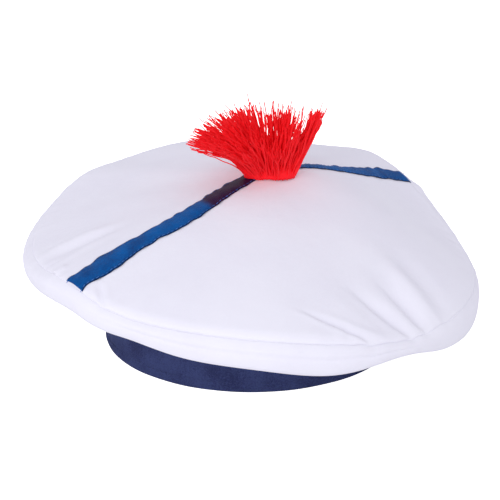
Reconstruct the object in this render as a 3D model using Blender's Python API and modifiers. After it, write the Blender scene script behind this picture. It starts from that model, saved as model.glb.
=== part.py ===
"""Sailor cap: a soft domed crown of two panels on an upright band, with a ribbon and a thread tuft on top.

Metres, +Z up. The cap stands on the lower edge of its band, the origin is the middle of that edge,
the wearer's front is -Y and the ribbon runs along X.
A heading is the angle in degrees round the cap, from the wearer's front towards +X.
"""

import math
from collections import namedtuple

import bmesh
import bpy
from mathutils import Vector

# Band
HEAD_GIRTH = 0.580
BAND_HEIGHT = 0.036
BAND_WALL = 0.002
BAND_SIDES = 72

# Crown
CROWN_RADIUS = 0.146
CROWN_HEIGHT = 0.1055
CLOTH_WALL = 0.0015
SEAM_HEIGHT = 0.062
SEAM_SWING = 0.023
SEAM_INSET = 0.004
ROLL_HEIGHT = 0.016
FOLD_DEPTH = 0.0035
FOLD_WIDTH = 0.0065
SEWN_GAP = 0.0004

# Ribbon
RIBBON_WIDTH = 0.012
RIBBON_THICKNESS = 0.001
RIBBON_GAP = 0.0007
RIBBON_STEP = 0.006

# How the ribbon runs, a row for each place along it, from -1 at the wearer's right to 1. aside: how far its
# middle line lies to the back. width: how wide it is. Both are in ribbon widths.
RIBBON_RUN = (
    (-1.0, -0.10, 1.30),
    (-0.6, -0.12, 1.15),
    (0.0, 0.00, 0.90),
    (0.5, 0.05, 0.70),
    (0.8, 0.42, 0.75),
    (1.0, 0.42, 0.75),
)

# Tuft, sewn through the ribbon at the crown's middle
MIDDLE_X = 0.0125
MIDDLE_Y = -0.003
KNOT_RADIUS = 0.0165
KNOT_HEIGHT = 0.016
KNOT_ROOTS = 0.004
LOCK_LENGTH = 0.040
LOCK_ROOT_RADIUS = 0.0035
LOCK_TIP_RADIUS = 0.0055
LOCK_TIP_WIDENING = 1.5

# Spacing of the crown's sections and rings, and of the ribbon's
SECTION_STEP = 6
FOLD_SECTION_STEP = 2
FOLD_SECTOR = (-36, 32)
HEADING_SEARCH_STEPS = 8
TOP_RINGS = (0.06, 0.15, 0.25, 0.35, 0.45, 0.54, 0.62, 0.69, 0.75, 0.81, 0.87, 0.93, 1.0)
ROLL_POINTS = 5
UNDERSIDE_POINTS = 4
RIBBON_COLUMNS = 2

# How the soft rim hangs round the cap, a row for each section. rise: height of the rim's seam, as a share
# of SEAM_SWING above SEAM_HEIGHT. roll: height of the rolled edge below the seam, as a share of
# ROLL_HEIGHT. inset: how far the seam lies inside the rim, as a share of SEAM_INSET. crest and shoulder:
# how full the crown is near its middle and near its seam, from 0 for a straight slope to 1 for a level one.
Rim = namedtuple("Rim", "heading rise roll inset crest shoulder")
RIM = (
    Rim(0, -0.95, 0.53, 0.9, 0.4, 0.6),
    Rim(15, -0.97, 1.02, 0.9, 0.5, 0.6),
    Rim(30, -0.93, 1.27, 0.8, 0.6, 0.6),
    Rim(60, -0.83, 1.15, 0.9, 1.1, 0.4),
    Rim(75, -0.36, 1.00, 1.2, 1.3, 0.1),
    Rim(90, 0.48, 0.95, 2.2, 1.4, -0.2),
    Rim(104, 0.97, 0.90, 1.3, 1.1, 0.0),
    Rim(120, 0.88, 0.95, 1.0, 0.8, 0.3),
    Rim(140, 1.00, 1.00, 1.0, 0.6, 0.4),
    Rim(160, 1.00, 1.00, 1.1, 0.5, 0.5),
    Rim(180, 0.77, 1.00, 1.2, 0.4, 0.6),
    Rim(194, 0.71, 1.00, 1.2, 0.3, 0.7),
    Rim(210, 0.25, 1.00, 1.3, 0.2, 0.8),
    Rim(240, 0.05, 1.00, 1.8, 0.2, 0.9),
    Rim(270, 0.34, 0.99, 1.2, 0.3, 0.8),
    Rim(280, 0.09, 0.94, 0.9, 0.3, 0.8),
    Rim(290, -0.09, 0.72, 0.9, 0.3, 0.8),
    Rim(303, -0.18, 0.98, 0.9, 0.3, 0.8),
    Rim(320, -0.31, 1.08, 0.9, 0.3, 0.8),
    Rim(340, -0.61, 1.14, 0.9, 0.3, 0.7),
)

# The folds that gather the top panel at its seam, a row for each. seam and inner: the headings where a fold
# starts and fades. reach: the share of the way out where it fades. depth: as a share of FOLD_DEPTH,
# negative for a ridge. width: as a share of FOLD_WIDTH.
Fold = namedtuple("Fold", "seam inner reach depth width")
FOLDS = (
    Fold(-9, -27, 0.78, 0.8, 1.0),
    Fold(2, -11, 0.66, 0.9, 0.9),
    Fold(5, -3, 0.64, -0.5, 0.8),
    Fold(8, 4, 0.62, 0.9, 0.9),
    Fold(15, 16, 0.56, -0.8, 1.1),
    Fold(20, 23, 0.52, 0.6, 1.2),
    Fold(238, 240, 0.40, 0.3, 1.2),
    Fold(247, 248, 0.56, -0.6, 0.9),
    Fold(253, 253, 0.56, 0.4, 0.8),
)

# A fold deepens over the first FOLD_SWELL of its length and closes over the last FOLD_CLOSE, at the seam.
FOLD_SWELL = 0.6
FOLD_CLOSE = 0.3

# The tuft's locks, a row for each ring of them. root: how far out in the knot they start, as a share of
# its radius. lean: the angle from upright in degrees. length: as a share of LOCK_LENGTH.
LockRing = namedtuple("LockRing", "count first root lean length")
LOCK_RINGS = (
    LockRing(4, 30, 0.2, 8, 0.85),
    LockRing(9, 10, 0.4, 25, 0.96),
    LockRing(13, 0, 0.65, 47, 1.02),
)
# The tuft fans out along TUFT_WIDE_WAY, a heading, and leans over most towards it. TUFT_SIDE_LEAN: how much
# more the locks lean that way than back. TUFT_NARROWING: the share of their lean and length left across it.
TUFT_WIDE_WAY = 230
TUFT_SIDE_LEAN = 0.33
TUFT_NARROWING = 0.70
# LOCK_BEND: how much more a lock leans at its cut end than at its root, as a share of its lean.
LOCK_BEND = 0.12
LOCK_SECTIONS = 4
LOCK_SIDES = 6
KNOT_SIDES = 16
KNOT_RINGS = 8

BAND_INNER_RADIUS = HEAD_GIRTH / math.tau
BAND_OUTER_RADIUS = BAND_INNER_RADIUS + BAND_WALL
MIDDLE = Vector((MIDDLE_X, MIDDLE_Y, CROWN_HEIGHT))


def at_heading(heading, radius, height):
    """The point at this heading, radius and height."""
    angle = math.radians(heading)
    return Vector((radius * math.sin(angle), -radius * math.cos(angle), height))


def rim(column, heading):
    """A column of RIM at any heading, on a smooth closed curve through its rows."""
    heading %= 360
    count = len(RIM)
    i = max(k for k in range(count) if RIM[k].heading <= heading)
    rows = [RIM[(i + k) % count] for k in (-1, 0, 1, 2)]
    places = [RIM[(i + k) % count].heading + 360 * ((i + k) // count) for k in (-1, 0, 1, 2)]
    values = [getattr(row, column) for row in rows]
    span = places[2] - places[1]
    slope_here = (values[2] - values[0]) / (places[2] - places[0]) * span
    slope_next = (values[3] - values[1]) / (places[3] - places[1]) * span
    t = (heading - places[1]) / span
    return (
        values[1] * (2 * t**3 - 3 * t**2 + 1)
        + slope_here * (t**3 - 2 * t**2 + t)
        + values[2] * (3 * t**2 - 2 * t**3)
        + slope_next * (t**3 - t**2)
    )


def seam_radius(heading):
    return CROWN_RADIUS - SEAM_INSET * rim("inset", heading)


def seam_height(heading):
    return SEAM_HEIGHT + SEAM_SWING * rim("rise", heading)


def smooth(t):
    """Rises smoothly from 0 to 1 as t does."""
    t = min(max(t, 0.0), 1.0)
    return t * t * (3 - 2 * t)


def fold_drop(heading, share):
    """How far the folds lower the top panel at this heading of its seam and share of the way out."""
    drop = 0.0
    for fold in FOLDS:
        along = (share - fold.reach) / (1 - fold.reach)
        if not 0 < along < 1:
            continue
        centre = fold.inner + (fold.seam - fold.inner) * along
        turn = (heading - centre + 180) % 360 - 180
        across = math.radians(turn) * share * CROWN_RADIUS / (FOLD_WIDTH * fold.width)
        swell = smooth(along / FOLD_SWELL) * smooth((1 - along) / FOLD_CLOSE)
        drop += FOLD_DEPTH * fold.depth * swell * math.exp(-across * across)
    return drop


def top_point(heading, share):
    """A point of the top panel's outer face. share runs from 0 at the middle to 1 at the seam."""
    crest = rim("crest", heading) * share * (1 - share) ** 2
    shoulder = rim("shoulder", heading) * share**2 * (1 - share)
    fall = share - crest - shoulder
    point = MIDDLE.lerp(at_heading(heading, seam_radius(heading), seam_height(heading)), share)
    point.z = CROWN_HEIGHT - (CROWN_HEIGHT - seam_height(heading)) * fall - fold_drop(heading, share)
    return point


def top_height(x, y):
    """The height of the top panel's outer face above a point in plan."""
    point = Vector((x, y, CROWN_HEIGHT))
    heading, share = 0, 0
    outward = point - MIDDLE
    if outward.length > 0:
        edge = point
        for _ in range(HEADING_SEARCH_STEPS):
            heading = math.degrees(math.atan2(edge.x, -edge.y))
            reach = (at_heading(heading, seam_radius(heading), CROWN_HEIGHT) - MIDDLE).length
            edge = MIDDLE + outward.normalized() * reach
        share = min(outward.length / reach, 1.0)
    return top_point(heading, share).z


def under_profile(heading):
    """The underside's outer face at this heading, as (radius, height), from the seam to the band's top."""
    radius, inset = seam_radius(heading), SEAM_INSET * rim("inset", heading)
    upper = seam_height(heading) - CLOTH_WALL - SEWN_GAP
    lower = seam_height(heading) - ROLL_HEIGHT * rim("roll", heading)
    half, middle = (upper - lower) / 2, (upper + lower) / 2
    points = []
    for k in range(ROLL_POINTS):
        angle = math.pi * (0.5 - k / (ROLL_POINTS - 1))
        points.append((radius + inset * math.cos(angle), middle + half * math.sin(angle)))
    band_top = BAND_HEIGHT + SEWN_GAP
    foot = BAND_OUTER_RADIUS + CLOTH_WALL
    for k in range(1, UNDERSIDE_POINTS + 1):
        t = k / UNDERSIDE_POINTS
        points.append((radius + (foot - radius) * t, lower + (band_top - lower) * smooth(t)))
    points.append((BAND_INNER_RADIUS, band_top))
    return points


def section_headings():
    """The headings of the crown's sections, closer together where the folds are."""
    first, last = FOLD_SECTOR
    near = list(range(first, last, FOLD_SECTION_STEP))
    return near + list(range(last, first + 360, SECTION_STEP))


def loft(name, rings, pole=None):
    """A skin through closed rings of equally many points. pole closes the first ring to a point."""
    bm = bmesh.new()
    loops = [[bm.verts.new(point) for point in ring] for ring in rings]
    count = len(rings[0])
    for upper, lower in zip(loops, loops[1:]):
        for k in range(count):
            after = (k + 1) % count
            bm.faces.new((upper[k], lower[k], lower[after], upper[after]))
    if pole is not None:
        tip = bm.verts.new(pole)
        for k in range(count):
            bm.faces.new((tip, loops[0][k], loops[0][(k + 1) % count]))
    mesh = bpy.data.meshes.new(name)
    bm.to_mesh(mesh)
    bm.free()
    return mesh


def place(name, mesh, colour, roughness):
    """A named object of the cap, with its own material."""
    obj = bpy.data.objects.new(name, mesh)
    cap.objects.link(obj)
    material = bpy.data.materials.new(name)
    material.use_nodes = True
    shader = material.node_tree.nodes["Principled BSDF"]
    shader.inputs["Base Color"].default_value = (*colour, 1)
    shader.inputs["Roughness"].default_value = roughness
    shader.inputs["Metallic"].default_value = 0
    mesh.materials.append(material)
    return obj


def add_wall(obj, thickness):
    """Gives a skin its thickness, on the inner side."""
    wall = obj.modifiers.new("Wall", "SOLIDIFY")
    wall.thickness = thickness
    wall.offset = -1
    wall.use_even_offset = True


def shade_round(mesh, sharp_degrees=35):
    mesh.shade_smooth()
    mesh.set_sharp_from_angle(angle=math.radians(sharp_degrees))


def build_band():
    """The upright band, turned from its cross-section."""
    mesh = bpy.data.meshes.new("band")
    section = (
        (BAND_OUTER_RADIUS, BAND_HEIGHT),
        (BAND_OUTER_RADIUS, 0),
        (BAND_INNER_RADIUS, 0),
        (BAND_INNER_RADIUS, BAND_HEIGHT),
    )
    edges = [(k, (k + 1) % len(section)) for k in range(len(section))]
    mesh.from_pydata([(radius, 0, height) for radius, height in section], edges, [])
    band = place("band", mesh, (0.035, 0.04, 0.14), 0.7)
    turn = band.modifiers.new("Turn", "SCREW")
    turn.steps = turn.render_steps = BAND_SIDES
    turn.use_merge_vertices = True
    turn.merge_threshold = 0.00005


def build_crown_top(headings):
    """The top panel, domed up to the tuft and gathered into the rim's seam."""
    rings = [[top_point(heading, share) for heading in headings] for share in TOP_RINGS]
    mesh = loft("crown_top", rings, pole=top_point(0, 0))
    crown = place("crown_top", mesh, (0.86, 0.86, 0.92), 0.75)
    add_wall(crown, CLOTH_WALL)
    shade_round(mesh)


def build_crown_under(headings):
    """The under panel, rolled out below the seam and drawn in to the band's top."""
    profiles = [under_profile(heading) for heading in headings]
    rings = [
        [at_heading(heading, *profile[k]) for heading, profile in zip(headings, profiles)]
        for k in range(len(profiles[0]))
    ]
    mesh = loft("crown_under", rings)
    crown = place("crown_under", mesh, (0.90, 0.90, 0.94), 0.75)
    add_wall(crown, CLOTH_WALL)
    shade_round(mesh)


def ribbon_height(x, y):
    """The height of the ribbon's upper face above a point in plan."""
    return top_height(x, y) + RIBBON_GAP + RIBBON_THICKNESS


def ribbon_run(place_along):
    """How far aside the ribbon lies at a place along it, and how wide it is, in ribbon widths."""
    for (start, *before), (end, *after) in zip(RIBBON_RUN, RIBBON_RUN[1:]):
        if place_along <= end:
            part_way = smooth((place_along - start) / (end - start))
            return [low + (high - low) * part_way for low, high in zip(before, after)]


def build_ribbon():
    """The ribbon, laid across the top panel from seam to seam."""
    half_length = min(seam_radius(90), seam_radius(270)) - CLOTH_WALL
    steps = 2 * math.ceil(half_length / RIBBON_STEP)
    mesh = bpy.data.meshes.new("ribbon")
    bm = bmesh.new()
    lines = []
    for k in range(steps + 1):
        place_along = 2 * k / steps - 1
        x = half_length * place_along
        aside, wide = ribbon_run(place_along)
        across = [aside + wide * (j / RIBBON_COLUMNS - 0.5) for j in range(RIBBON_COLUMNS + 1)]
        sides = [MIDDLE_Y + RIBBON_WIDTH * share for share in across]
        lines.append([bm.verts.new((x, y, ribbon_height(x, y))) for y in sides])
    for before, after in zip(lines, lines[1:]):
        for k in range(RIBBON_COLUMNS):
            bm.faces.new((before[k], after[k], after[k + 1], before[k + 1]))
    bm.to_mesh(mesh)
    bm.free()
    ribbon = place("ribbon", mesh, (0.01, 0.10, 0.36), 0.35)
    add_wall(ribbon, RIBBON_THICKNESS)


def build_lock(name, root, heading, lean, length):
    """One lock of threads: a tapered prism that splays towards its cut end and bends outwards."""
    side = at_heading(heading, 1, 0)
    across = Vector((-side.y, side.x, 0))
    rings = []
    for k in range(LOCK_SECTIONS):
        t = k / (LOCK_SECTIONS - 1)
        tilt = math.radians(lean) * (1 + LOCK_BEND * t)
        along = side * math.sin(tilt) + Vector((0, 0, math.cos(tilt)))
        out = side * math.cos(tilt) - Vector((0, 0, math.sin(tilt)))
        radius = LOCK_ROOT_RADIUS + (LOCK_TIP_RADIUS - LOCK_ROOT_RADIUS) * t
        wide = radius * (1 + (LOCK_TIP_WIDENING - 1) * t)
        centre = root + along * (length * t)
        turns = [math.tau * j / LOCK_SIDES for j in range(LOCK_SIDES)]
        rings.append([centre + out * math.cos(a) * radius + across * math.sin(a) * wide for a in turns])
    mesh = loft(name, rings[::-1], pole=centre + along * (LOCK_TIP_RADIUS / 2))
    bm = bmesh.new()
    bm.from_mesh(mesh)
    bmesh.ops.holes_fill(bm, edges=[edge for edge in bm.edges if edge.is_boundary])
    bmesh.ops.recalc_face_normals(bm, faces=bm.faces)
    bm.to_mesh(mesh)
    bm.free()
    lock = bpy.data.objects.new(name, mesh)
    lock.display_type = "WIRE"
    lock.hide_render = True
    locks.objects.link(lock)


def build_tuft():
    """The tuft: locks of cut thread fused to the knot that is sewn over the ribbon."""
    bpy.ops.mesh.primitive_uv_sphere_add(segments=KNOT_SIDES, ring_count=KNOT_RINGS, radius=1)
    knot = bpy.context.active_object
    mesh = knot.data
    bpy.data.objects.remove(knot)
    for vertex in mesh.vertices:
        x = MIDDLE_X + vertex.co.x * KNOT_RADIUS
        y = MIDDLE_Y + vertex.co.y * KNOT_RADIUS
        above = SEWN_GAP + KNOT_HEIGHT * (vertex.co.z + 1) / 2
        vertex.co = (x, y, ribbon_height(x, y) + above)
    ground = ribbon_height(MIDDLE_X, MIDDLE_Y) + SEWN_GAP
    roots = Vector((MIDDLE_X, MIDDLE_Y, ground + KNOT_ROOTS))
    tuft = place("tuft", mesh, (0.80, 0.01, 0.015), 0.6)
    for row, ring in enumerate(LOCK_RINGS):
        for k in range(ring.count):
            heading = ring.first + 360 * k / ring.count
            turn = math.radians(heading - TUFT_WIDE_WAY)
            spread = math.hypot(math.cos(turn), TUFT_NARROWING * math.sin(turn))
            lean = ring.lean * spread * (1 + TUFT_SIDE_LEAN * math.cos(turn))
            length = LOCK_LENGTH * ring.length * spread
            root = roots + at_heading(heading, KNOT_RADIUS * ring.root, 0)
            build_lock(f"lock_{row}_{k}", root, heading, lean, length)
    fuse = tuft.modifiers.new("Fuse", "BOOLEAN")
    fuse.operation = "UNION"
    fuse.operand_type = "COLLECTION"
    fuse.collection = locks
    fuse.solver = "EXACT"


for old in list(bpy.data.objects):
    bpy.data.objects.remove(old)
cap = bpy.data.collections.new("Sailor cap")
bpy.context.scene.collection.children.link(cap)
locks = bpy.data.collections.new("Tuft locks")
locks.hide_render = True
bpy.context.scene.collection.children.link(locks)

sections = section_headings()
build_band()
build_crown_under(sections)
build_crown_top(sections)
build_ribbon()
build_tuft()
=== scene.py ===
"""Sailor cap: the cloth, ribbon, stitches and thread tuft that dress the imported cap.

It is an add-on that is run as a script. Metres, +Z up. A heading is the angle in degrees round the cap, from
the wearer's front (-Y) towards +X. A share of the way out runs from 0 at the crown's middle, under the tuft,
to 1 at the seam of its rim.
"""

import math
from collections import namedtuple

import bpy
import numpy as np
from bpy.props import FloatProperty, FloatVectorProperty, IntProperty, PointerProperty
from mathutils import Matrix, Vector
from mathutils.bvhtree import BVHTree


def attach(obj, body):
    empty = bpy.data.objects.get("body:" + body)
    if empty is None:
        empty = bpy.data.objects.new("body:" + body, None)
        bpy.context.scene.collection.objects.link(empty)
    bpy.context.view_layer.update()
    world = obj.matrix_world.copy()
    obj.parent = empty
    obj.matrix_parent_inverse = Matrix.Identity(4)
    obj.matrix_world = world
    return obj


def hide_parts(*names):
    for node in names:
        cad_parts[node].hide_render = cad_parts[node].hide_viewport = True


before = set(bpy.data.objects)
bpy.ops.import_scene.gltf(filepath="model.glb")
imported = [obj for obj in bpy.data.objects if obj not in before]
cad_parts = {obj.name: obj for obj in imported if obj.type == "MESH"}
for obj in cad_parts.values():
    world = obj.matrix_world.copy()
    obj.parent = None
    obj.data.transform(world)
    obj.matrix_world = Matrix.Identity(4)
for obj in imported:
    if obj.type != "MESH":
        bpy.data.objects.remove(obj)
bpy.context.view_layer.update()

bl_info = {
    "name": "Sailor Cap",
    "version": (1, 0, 0),
    "blender": (4, 5, 0),
    "location": "View3D > Sidebar > Sailor Cap",
    "description": "Makes the cloth, ribbon, stitches and thread tuft of a sailor cap on its packed solids",
    "category": "Object",
}

BODY = "root"
SEED = 7

# The crown's grids. The top panel's rows lie closer together towards its seam.
HEADINGS = np.linspace(0, 360, 480, endpoint=False)
TOP_ROWS = 90
TOP_CROWDING = 1.25
TOP_FIRST_SHARE = 0.014
TOP_SHARES = 1 - (1 - np.linspace(0, 1, TOP_ROWS)) ** TOP_CROWDING * (1 - TOP_FIRST_SHARE)
ROLL_STEPS = 26
ROLL_START = math.radians(42)
UNDER_STEPS = 22

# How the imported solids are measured, and how far their facets are blurred: in metres, in degrees round the
# under panel, and in its rows
MIDDLE = (0.0125, -0.003)
SEAM_LEAST_RADIUS = 0.125
LAST_SOLID_SHARE = 0.992
BELOW = -0.1
OUTSIDE = 0.3
FACET_BLUR = 0.0055
SEAM_BLUR = 0.006
UNDER_BLUR_DEGREES = 2.4
UNDER_BLUR_ROWS = 1.6

# The top panel swells above its seam and turns down to it, mostly at the wearer's front right. Its very edge
# is a small lip.
OVERHANG_FADE = 0.030
OVERHANG_HEADING = 318
OVERHANG_REACH = 52
OVERHANG_EASE = 26
OVERHANG_ELSEWHERE = 0.35
LIP_RADIUS = 0.0010
LIP_DROP = 0.0002

# The under panel starts with a lip, tucked in under the top panel's edge: how far each of its rows lies
# out from the seam and above it. Then it rolls out from its shoulder, and ends over the band's top.
LIP_ROWS = ((-0.0010, 0.0002), (-0.0004, 0.0001), (0.0001, 0.0))
SHOULDER_DROP = 0.0002
SHOULDER_OUT = 0.0004
BAND_GAP = 0.0004
BAND_SEAM_RISE = (0.0005, 0.0004)

# The crease in the rolled rim and the puckers under its seam. Their places and widths are shares of the
# under panel's rows. The crease runs at the wearer's front right.
PUCKER_PLACE = 0.10
PUCKER_WIDTH = 0.08
CREASE_PLACE = 0.21
CREASE_SWING = 0.01
CREASE_LOW_HEADING = 330
CREASE_WIDTH = 0.025
CREASE_HEADING = 322
CREASE_REACH = 48
CREASE_EASE = 22

# The band: its rounded upper corner, where its straight sides start and stop, and its finish
BAND_CORNER = 0.0006
BAND_SIDE_START = 0.003
BAND_SIDE_STOP = 0.002
BAND_SIDE_ROWS = 20
GROOVE_DEPTH = 0.00025
GROOVE_WIDTH = 0.0006
BAND_WAVER = 0.0002
WELD_DISTANCE = 0.00001

# The ribbon's grid, and how it lies on the crown. A wave of count 1 turns by RIBBON_TURN degrees over half
# of its length. The stitches' lines are given as shares of its half width.
RIBBON_STEPS = 440
RIBBON_COLUMNS = 15
RIBBON_TURN = 80
RIBBON_LIFT = 0.0003
RIBBON_PUFF = 0.0005
RIBBON_END_INSET = 0.0002
RIBBON_STITCH_LINES = (-0.86, 0.86)
BLUE_THREAD = (0.08, 0.22, 0.62)

# The rim bulges by the ribbon's end at the wearer's left, where a loose sewing thread sticks up
BULGE = 0.0024
BULGE_HEADING = 88
BULGE_SPREAD = 2.5
LOOSE_HEADING = 92
LOOSE_ROOT_OUT = 0.0005
LOOSE_ROOT_DROP = 0.0004
LOOSE_REACH = (0.0012, 0.0004, 0.0034)
LOOSE_BEND = (0.0006, 0.0, 0.0)
LOOSE_GIRTH = 0.0003
LOOSE_JOINTS = 8
LOOSE_CRINKLE = 0.0002

# Towards the tuft the ribbon's colour darkens to a painted shadow of the tuft, with a painted red reflection
# of it: from how far away, and over how long a stretch
TUFT_SHADOW_END = 0.055
TUFT_SHADOW_FADE = 0.007

# The folds that gather the top panel, a row for each. seam and inner: the headings where a fold starts and
# fades. reach: the share of the way out where it fades. depth: as a share of the fold depth, negative for a
# ridge. width: as a share of the fold width. open: the share of its depth that is left at the seam. steep:
# the width of its side of lower heading, as a share of the other's.
Fold = namedtuple("Fold", "seam inner reach depth width open steep")
FOLDS = (
    Fold(-10.5, -29, 0.84, 0.80, 1.1, 0.5, 0.4),
    Fold(1.5, -9, 0.72, 0.75, 1.0, 0.5, 0.4),
    Fold(7, 4, 0.72, 0.80, 1.0, 0.5, 0.4),
    Fold(12.5, 14.5, 0.62, -0.45, 1.1, 0.2, 1.0),
    Fold(16.5, 21, 0.66, 0.50, 1.6, 0.4, 0.6),
    Fold(247, 248.5, 0.62, -0.35, 0.8, 0.3, 1.0),
    Fold(252.5, 252.5, 0.60, 0.35, 0.7, 0.3, 1.0),
    Fold(258.5, 256, 0.64, -0.25, 0.7, 0.3, 1.0),
    Fold(255.5, 255.5, 0.93, 0.40, 0.4, 0.7, 1.0),
    Fold(262.5, 262, 0.93, -0.50, 0.5, 0.8, 1.0),
    Fold(282, 276.5, 0.92, 0.45, 0.6, 0.7, 1.0),
)

# A fold deepens over the first FOLD_SWELL of its length and closes over the last FOLD_CLOSE. The cloth
# stands up a little on both of its sides, by this share of its depth.
FOLD_SWELL = 0.5
FOLD_CLOSE = 0.25
FOLD_SHOULDERS = 0.25

# The ribbon's outline seen from above, a row for each place along it. along: as a share of its half length,
# negative at the wearer's right. aside: how far its middle line lies to the back, and width: both as shares
# of the ribbon's width.
Reach = namedtuple("Reach", "along aside width")
RIBBON = (
    Reach(-1.02, -0.31, 1.12),
    Reach(-0.99, -0.29, 1.10),
    Reach(-0.96, -0.31, 1.00),
    Reach(-0.89, -0.39, 1.14),
    Reach(-0.84, -0.38, 1.20),
    Reach(-0.74, -0.35, 1.02),
    Reach(-0.62, -0.35, 0.86),
    Reach(-0.45, -0.36, 0.96),
    Reach(-0.30, -0.19, 0.95),
    Reach(-0.15, 0.13, 1.00),
    Reach(0.00, 0.30, 0.95),
    Reach(0.20, -0.05, 0.56),
    Reach(0.33, -0.05, 0.50),
    Reach(0.43, -0.12, 0.44),
    Reach(0.58, -0.04, 0.48),
    Reach(0.72, 0.12, 0.60),
    Reach(0.86, 0.22, 0.74),
    Reach(0.97, 0.10, 0.66),
    Reach(1.02, 0.05, 0.60),
)

# The tuft's locks of thread, a row for each. foot: where it starts along the fan, as a share of the foot's
# radius. tilt: the lean of its tip in degrees along the fan, positive to the fan's right. rise: the share of
# that lean at its foot. toward: the lean in degrees out of the fan's plane, positive to its front. threads:
# how many. spread: how far they part, in degrees. length: as a share of the thread length.
Lock = namedtuple("Lock", "foot tilt rise toward threads spread length")
LOCKS = (
    Lock(-0.68, -58, 0.60, 2, 62, 3.2, 0.94),
    Lock(-0.60, -54, 0.62, -14, 50, 4, 0.96),
    Lock(-0.55, -52, 0.65, 18, 50, 5, 0.89),
    Lock(-0.45, -46, 0.70, -4, 70, 5.5, 0.97),
    Lock(-0.45, -42, 0.70, 30, 50, 7, 0.88),
    Lock(-0.35, -37, 0.75, -24, 50, 6, 0.94),
    Lock(-0.30, -33, 0.75, 10, 70, 6, 0.93),
    Lock(-0.18, -24, 0.80, -8, 70, 5.5, 0.93),
    Lock(-0.18, -22, 0.80, 30, 50, 7, 0.84),
    Lock(-0.10, -17, 0.80, -28, 40, 6, 0.91),
    Lock(0.00, -12, 0.85, 8, 60, 4.5, 0.66),
    Lock(0.02, -8, 0.85, 0, 22, 7, 0.90),
    Lock(0.15, -1, 0.85, -14, 24, 4, 0.88),
    Lock(0.10, 0, 0.85, 28, 46, 6, 0.60),
    Lock(0.30, 3, 0.90, -2, 46, 4, 0.86),
    Lock(0.40, 9, 0.90, 18, 36, 5, 0.78),
    Lock(0.40, 11, 0.90, -20, 26, 4, 0.86),
    Lock(0.50, 14, 0.90, 4, 26, 4, 0.86),
    Lock(0.98, 23, 1.00, -6, 90, 2.8, 0.94),
    Lock(1.00, 25, 1.00, -20, 40, 3.2, 0.90),
    Lock(-0.30, -9, 0.90, 0, 3, 1, 1.08),
    Lock(0.05, 0, 0.90, 0, 3, 1, 1.10),
    Lock(0.60, 12, 0.90, 0, 3, 1, 1.08),
    Lock(0.70, 17, 0.95, 0, 44, 4, 0.62),
)

# How the threads vary: how far apart they start along the fan and out of it, as shares of the foot's radius,
# how many are longer than the rest and by how much, and the range of their lengths, girths and tones
THREAD_ASIDE = 0.16
THREAD_BEFORE = 0.28
STRAY_SHARE = 0.02
STRAY_LENGTH = 0.12
THREAD_LENGTHS = (0.87, 1.03)
THREAD_GIRTHS = (0.75, 1.2)
THREAD_TONES = (0.3, 1.0)

# A lock that leans out of the fan by LEAN_BEFORE degrees starts one foot's radius out of it. Its threads
# part TOWARD_SPREAD times as far that way as along the fan. They start this many thread radii over the cloth.
LEAN_BEFORE = 60
TOWARD_SPREAD = 1.2
ROOT_LIFT = 1.5

# The tuft's foot: how deep it is, as a share of its width, and how it rises over the cloth
FOOT_DEPTH = 0.5
FOOT_SHARE = 0.98
FOOT_ROWS = 12
FOOT_EDGE = 0.0012
FOOT_RISE = 0.011
FOOT_PEAK = 0.0002
FOOT_WALL = 0.001
FOOT_TONE = 0.15

# How far the seam's stitches lie out from the seam and below it, and the band's below its face
SEAM_STITCH_OUT = 0.0003
SEAM_STITCH_DROP = 0.0003
BAND_STITCH_INSET = 0.0001

# The lights, and the height of the spot that they point to
KEY_PLACE = (-1.75, -0.7, 0.80)
KEY_SIZE = 1.2
FILL_PLACE = (-0.1, -1.7, 0.25)
FILL_SIZE = 0.9
LIT_HEIGHT = 0.06
SURROUND_COLOUR = (0.97, 0.96, 1, 1)
FLOOR_COLOUR = (0.98, 0.98, 0.98, 1)

# The camera stands where the photograph was taken from
CAMERA_AZIMUTH = -40.0
CAMERA_ELEVATION = 21.31
CAMERA_DISTANCE = 1.3
CAMERA_TARGET_HEIGHT = 0.05
FRAME_PIXELS = 500
FOCAL_PIXELS = 2032.1
TARGET_PIXEL = (251.6, 259.3)
SENSOR_WIDTH_MM = 36.0


class CapCrownSettings(bpy.types.PropertyGroup):
    """The white crown's cloth."""

    wall: FloatProperty(
        name="Cloth thickness", description="How thick the crown's cloth is", default=0.0012, unit="LENGTH"
    )
    fold_depth: FloatProperty(
        name="Fold depth", description="How deep the deepest fold lies", default=0.0032, unit="LENGTH"
    )
    fold_width: FloatProperty(
        name="Fold width", description="Half the width of a common fold", default=0.0050, unit="LENGTH"
    )
    pucker: FloatProperty(
        name="Pucker",
        description="How far the cloth puckers at the rim's seam",
        default=0.00028,
        unit="LENGTH",
    )
    sway: FloatProperty(
        name="Sway", description="How far the cloth sways in broad waves", default=0.0006, unit="LENGTH"
    )
    overhang: FloatProperty(
        name="Overhang",
        description="How far the top panel swells above its seam",
        default=0.0036,
        unit="LENGTH",
    )
    overhang_width: FloatProperty(
        name="Overhang width",
        description="How wide the turn down to the seam is",
        default=0.0045,
        unit="LENGTH",
    )
    crease_depth: FloatProperty(
        name="Crease depth",
        description="How deep the crease round the rim lies",
        default=0.0009,
        unit="LENGTH",
    )
    light: FloatVectorProperty(
        name="Cotton",
        description="The cotton's lightest colour",
        default=(0.87, 0.865, 0.965),
        subtype="COLOR",
    )
    shade: FloatVectorProperty(
        name="Cotton shade",
        description="The cotton's darkest colour",
        default=(0.83, 0.82, 0.93),
        subtype="COLOR",
    )


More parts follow.
